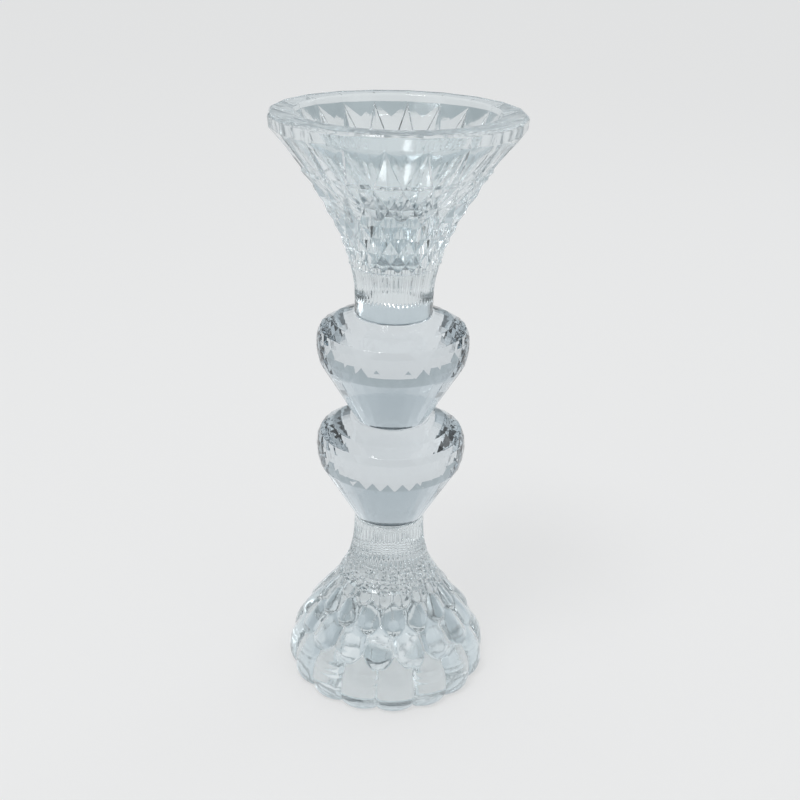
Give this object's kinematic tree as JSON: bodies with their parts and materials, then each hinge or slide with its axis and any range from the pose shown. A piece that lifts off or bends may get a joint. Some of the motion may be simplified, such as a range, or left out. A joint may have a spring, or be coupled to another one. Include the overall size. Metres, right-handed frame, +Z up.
{
  "type": "glass candlestick",
  "caption": "Clear glass candlestick: a flared faceted cup with a taper-candle socket on two stacked cut beads and a petalled flared foot.",
  "frame": {"origin": "centre of the underside, on the surface that the foot stands on", "axes": "+Z up along the axis of all the pieces, -Y towards the front"},
  "size_m": [0.0792, 0.0792, 0.2],
  "materials": {
    "pressed_glass": "clear pressed glass, fire-polished",
    "cut_crystal": "clear cut and polished crystal",
    "clear_bond": "clear cured adhesive"
  },
  "bodies": {
    "root": {"foot": "pressed_glass", "foot_bond": "clear_bond", "lower_bead": "cut_crystal", "bead_bond": "clear_bond", "upper_bead": "cut_crystal", "cup_bond": "clear_bond", "candle_cup": "pressed_glass"}
  },
  "joints": []
}
